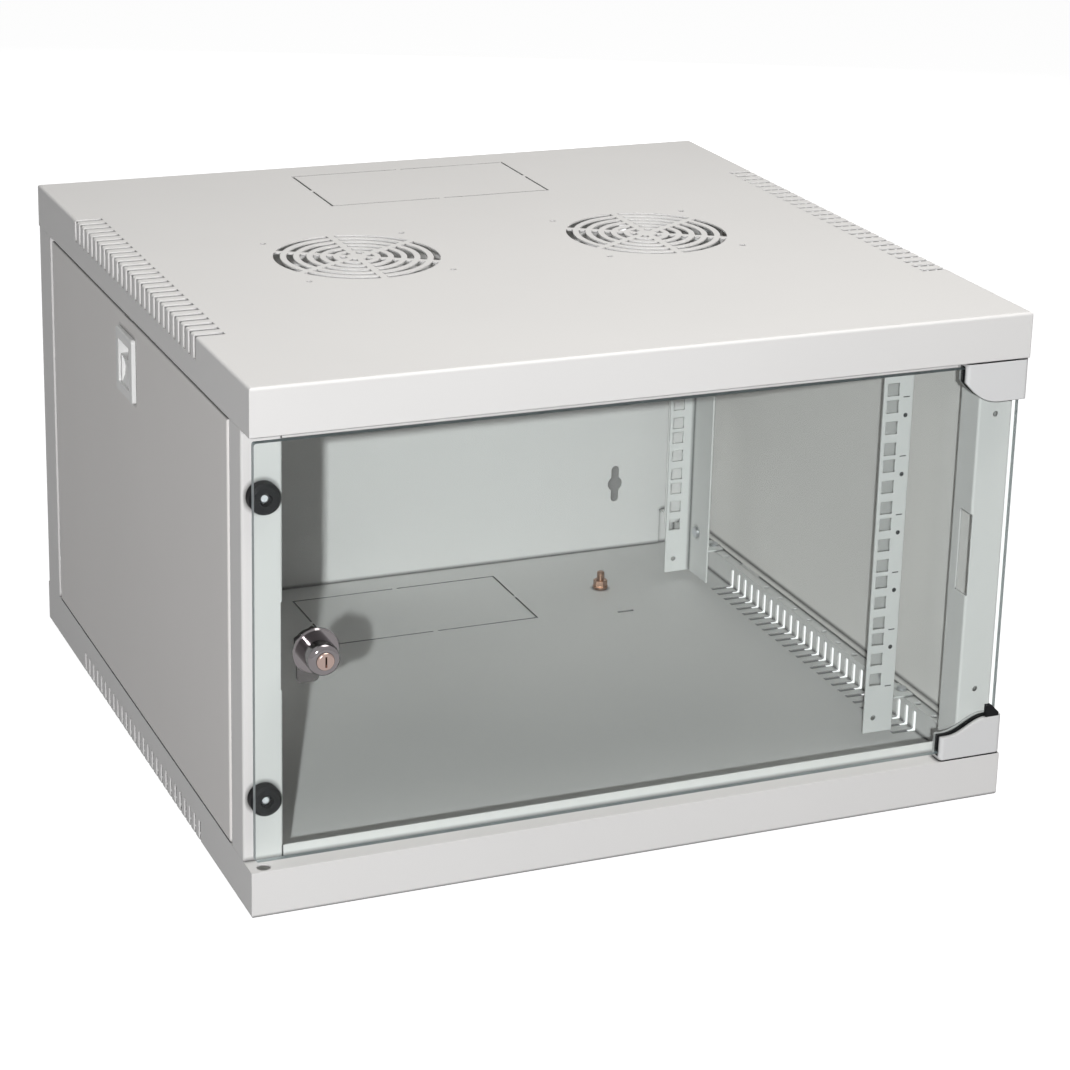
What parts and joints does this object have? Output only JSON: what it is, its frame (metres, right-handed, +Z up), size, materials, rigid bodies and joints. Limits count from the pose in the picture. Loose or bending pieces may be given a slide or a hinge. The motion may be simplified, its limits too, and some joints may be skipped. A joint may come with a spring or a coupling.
{
  "type": "wall mount network cabinet",
  "caption": "Shallow wall cabinet for rack equipment: sheet steel case, glass door on corner pivots with a cam lock, vented roof and base, lift-off side panels and square-holed rails.",
  "frame": {"origin": "centre of the base pan's underside", "axes": "+X to the right seen from the front, +Y to the rear (towards the wall), +Z up"},
  "size_m": [0.556, 0.5586, 0.356],
  "materials": {
    "paint": "fine textured powder coat, light grey",
    "glass": "clear toughened glass, polished edges",
    "chrome": "bright chrome plate",
    "zinc": "zinc plate",
    "rubber": "matt",
    "nylon": "moulded",
    "latch_plastic": "fine texture, as moulded"
  },
  "bodies": {
    "frame": {"back_panel": "paint", "base_pan": "paint", "bumper_lower": "rubber", "bumper_screws": "zinc", "bumper_upper": "rubber", "earth_nut": "zinc", "earth_stud": "zinc", "front_header": "paint", "front_sill": "paint", "front_upright_left": "paint", "front_upright_right": "paint", "ledge_screws": "paint", "pivot_bush_lower": "nylon", "pivot_bush_upper": "nylon", "rack_rail_front_left": "paint", "rack_rail_front_right": "paint", "rack_rail_rear_left": "paint", "rack_rail_rear_right": "paint", "rail_bracket_lower_front_left": "paint", "rail_bracket_lower_front_right": "paint", "rail_bracket_lower_rear_left": "paint", "rail_bracket_lower_rear_right": "paint", "rail_bracket_upper_front_left": "paint", "rail_bracket_upper_front_right": "paint", "rail_bracket_upper_rear_left": "paint", "rail_bracket_upper_rear_right": "paint", "rail_screws": "zinc", "roof_cover": "paint"},
    "door": {"clamp_gasket_lower": "rubber", "clamp_gasket_upper": "rubber", "clamp_screws": "zinc", "door_glass": "glass", "hinge_clamp_lower": "paint", "hinge_clamp_upper": "paint", "hinge_corner_block": "rubber", "lock_housing": "chrome", "lock_nut": "zinc", "pivot_pin_lower": "zinc", "pivot_pin_upper": "zinc"},
    "lock": {"lock_core": "chrome", "lock_cam": "zinc"},
    "panel_left": {"side_panel_left": "paint", "latch_housing_left": "latch_plastic"},
    "panel_right": {"side_panel_right": "paint", "latch_housing_right": "latch_plastic"},
    "slider_left": {"latch_slider_left": "latch_plastic"},
    "slider_right": {"latch_slider_right": "latch_plastic"}
  },
  "joints": [
    {"name": "door_hinge", "type": "hinge", "parent": "frame", "child": "door", "pos_m": [0.265, -0.2645, 0.178], "axis": [0, 0, 1], "range_deg": [0, 180]},
    {"name": "lock_turn", "type": "hinge", "parent": "door", "child": "lock", "pos_m": [-0.231, -0.2645, 0.178], "axis": [0, 1, 0], "range_deg": [0, 90]},
    {"name": "panel_left_tilt", "type": "hinge", "parent": "frame", "child": "panel_left", "pos_m": [-0.275, 0.003, 0.0323], "axis": [0, -1, 0], "range_deg": [0, 30]},
    {"name": "panel_right_tilt", "type": "hinge", "parent": "frame", "child": "panel_right", "pos_m": [0.275, 0.003, 0.0323], "axis": [0, 1, 0], "range_deg": [0, 30]},
    {"name": "latch_left_slide", "type": "slide", "parent": "panel_left", "child": "slider_left", "axis": [0, 0, 1], "range_m": [0, 0.006]},
    {"name": "latch_right_slide", "type": "slide", "parent": "panel_right", "child": "slider_right", "axis": [0, 0, 1], "range_m": [0, 0.006]}
  ]
}
